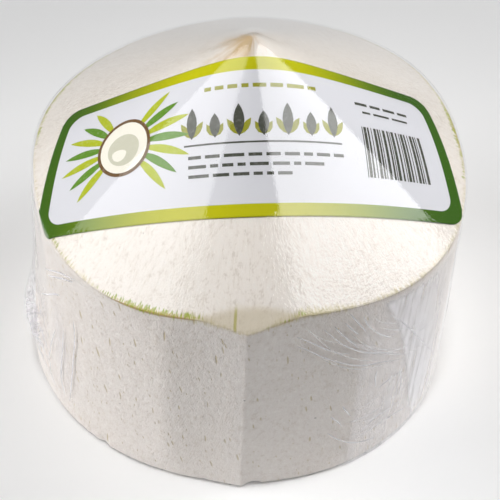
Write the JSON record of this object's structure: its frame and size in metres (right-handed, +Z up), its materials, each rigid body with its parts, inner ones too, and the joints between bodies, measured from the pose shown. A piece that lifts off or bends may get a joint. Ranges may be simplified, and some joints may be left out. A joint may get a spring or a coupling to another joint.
{
  "type": "trimmed young coconut",
  "caption": "Young coconut cut to a low cone on a faceted drum, standing on its flat base, with a plain printed band over the cone under clear stretch film.",
  "frame": {"origin": "on the surface the nut stands on, below the middle of its bounding box", "axes": "+Z up along the cone's axis, towards the apex; -Y towards the front, where the two flat cuts meet and the label lies; +X to the right seen from the front"},
  "size_m": [0.1314, 0.1335, 0.1215],
  "materials": {
    "husk": "fresh-cut fibrous coconut husk, pale cream, matt, with a trace of green skin along the rim",
    "printed_label": "white printed sheet with a green to lime border, satin",
    "clear_film": "clear glossy stretch film with fine creases"
  },
  "bodies": {
    "root": {"coconut": "husk", "label": "printed_label", "film_wrap": "clear_film"}
  },
  "joints": []
}
